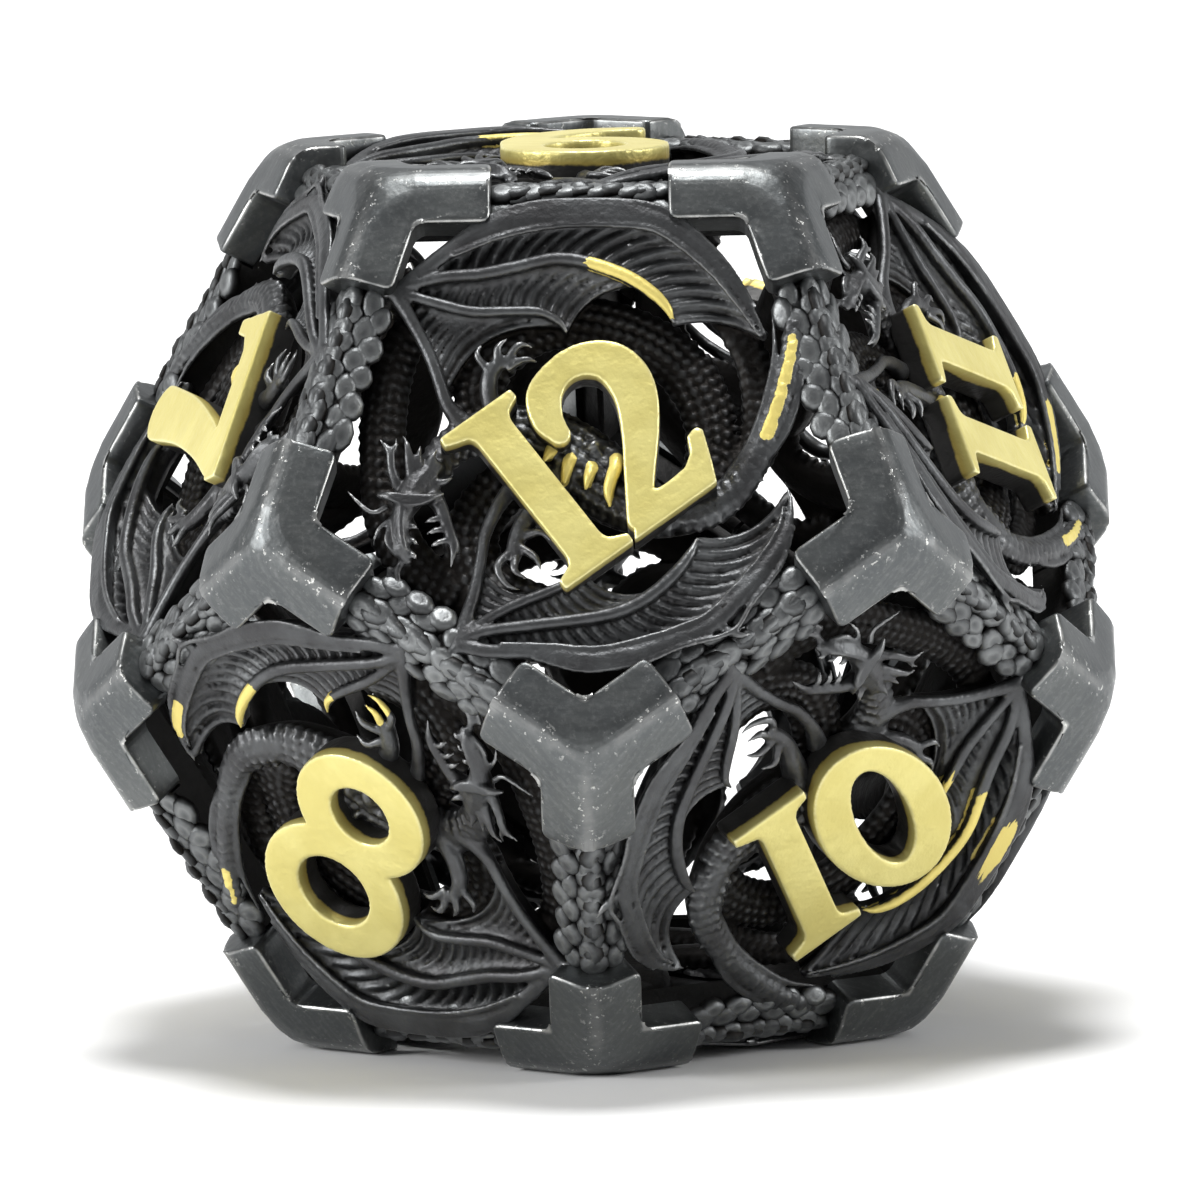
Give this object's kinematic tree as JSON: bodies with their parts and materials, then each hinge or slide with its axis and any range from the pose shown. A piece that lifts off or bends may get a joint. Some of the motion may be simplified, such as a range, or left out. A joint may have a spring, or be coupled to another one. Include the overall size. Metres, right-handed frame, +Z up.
{
  "type": "polyhedral die",
  "caption": "Hollow openwork metal die with twelve pentagonal faces, each a pierced winged-dragon relief with raised gold numerals.",
  "frame": {"origin": "centre of the bottom face, in the plane of the surface that the die stands on", "axes": "+Z up through the opposite face, -Y towards the face numbered 12"},
  "size_m": [0.0256, 0.0268, 0.022],
  "materials": {
    "scaled_frame": "dark gunmetal plating over cast zinc alloy, scale texture",
    "corner_brackets": "satin gunmetal plating, worn silvery along the folds",
    "dragon_panels": "dark antiqued gunmetal relief",
    "gold_digits": "pale gold enamel paint, satin"
  },
  "bodies": {
    "root": {"upper_frame": "scaled_frame", "lower_frame": "scaled_frame", "corner_bracket_01": "corner_brackets", "corner_bracket_02": "corner_brackets", "corner_bracket_03": "corner_brackets", "corner_bracket_04": "corner_brackets", "corner_bracket_05": "corner_brackets", "corner_bracket_06": "corner_brackets", "corner_bracket_07": "corner_brackets", "corner_bracket_08": "corner_brackets", "corner_bracket_09": "corner_brackets", "corner_bracket_10": "corner_brackets", "corner_bracket_11": "corner_brackets", "corner_bracket_12": "corner_brackets", "corner_bracket_13": "corner_brackets", "corner_bracket_14": "corner_brackets", "corner_bracket_15": "corner_brackets", "corner_bracket_16": "corner_brackets", "corner_bracket_17": "corner_brackets", "corner_bracket_18": "corner_brackets", "corner_bracket_19": "corner_brackets", "corner_bracket_20": "corner_brackets", "dragon_panel_01": "dragon_panels", "dragon_panel_02": "dragon_panels", "dragon_panel_03": "dragon_panels", "dragon_panel_04": "dragon_panels", "dragon_panel_05": "dragon_panels", "dragon_panel_06": "dragon_panels", "dragon_panel_07": "dragon_panels", "dragon_panel_08": "dragon_panels", "dragon_panel_09": "dragon_panels", "dragon_panel_10": "dragon_panels", "dragon_panel_11": "dragon_panels", "dragon_panel_12": "dragon_panels", "digit_01": "gold_digits", "digit_02": "gold_digits", "digit_03": "gold_digits", "digit_04": "gold_digits", "digit_05": "gold_digits", "digit_06": "gold_digits", "digit_07": "gold_digits", "digit_08": "gold_digits", "digit_09": "gold_digits", "digit_10a": "gold_digits", "digit_10b": "gold_digits", "digit_11a": "gold_digits", "digit_11b": "gold_digits", "digit_12a": "gold_digits", "digit_12b": "gold_digits"}
  },
  "joints": []
}
